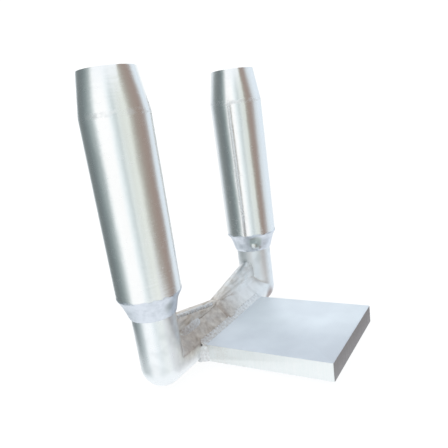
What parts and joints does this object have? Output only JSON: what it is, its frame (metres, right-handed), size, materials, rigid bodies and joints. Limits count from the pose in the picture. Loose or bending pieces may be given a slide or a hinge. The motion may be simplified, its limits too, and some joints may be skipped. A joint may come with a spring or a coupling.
{
  "type": "compression terminal connector",
  "caption": "Welded aluminium terminal for two parallel conductors: upright compression barrels on a bent round crossbar with gussets and a flat undrilled pad.",
  "frame": {"origin": "centre of the pad's underside", "axes": "+X towards the pad's free edge, +Y from the near barrel to the far barrel, +Z out of the barrels' mouths"},
  "size_m": [0.179, 0.258, 0.2778],
  "materials": {
    "turned_aluminium": "turned, bright satin",
    "dressed_bar": "dressed satin",
    "sawn_plate": "matte mill finish with sawn edges",
    "rough_gusset": "rough, heat tinted",
    "weld_metal": "matte, rippled"
  },
  "bodies": {
    "root": {"near_barrel": "turned_aluminium", "far_barrel": "turned_aluminium", "near_elbow": "dressed_bar", "far_elbow": "dressed_bar", "pad": "sawn_plate", "near_gusset": "rough_gusset", "far_gusset": "rough_gusset", "near_barrel_weld": "weld_metal", "far_barrel_weld": "weld_metal", "centre_weld": "weld_metal", "pad_top_weld": "weld_metal", "pad_bottom_weld": "weld_metal", "near_pad_end_weld": "weld_metal", "far_pad_end_weld": "weld_metal", "near_gusset_front_weld": "weld_metal", "far_gusset_front_weld": "weld_metal", "near_gusset_back_weld": "weld_metal", "far_gusset_back_weld": "weld_metal", "near_gusset_top_weld": "weld_metal"}
  },
  "joints": []
}
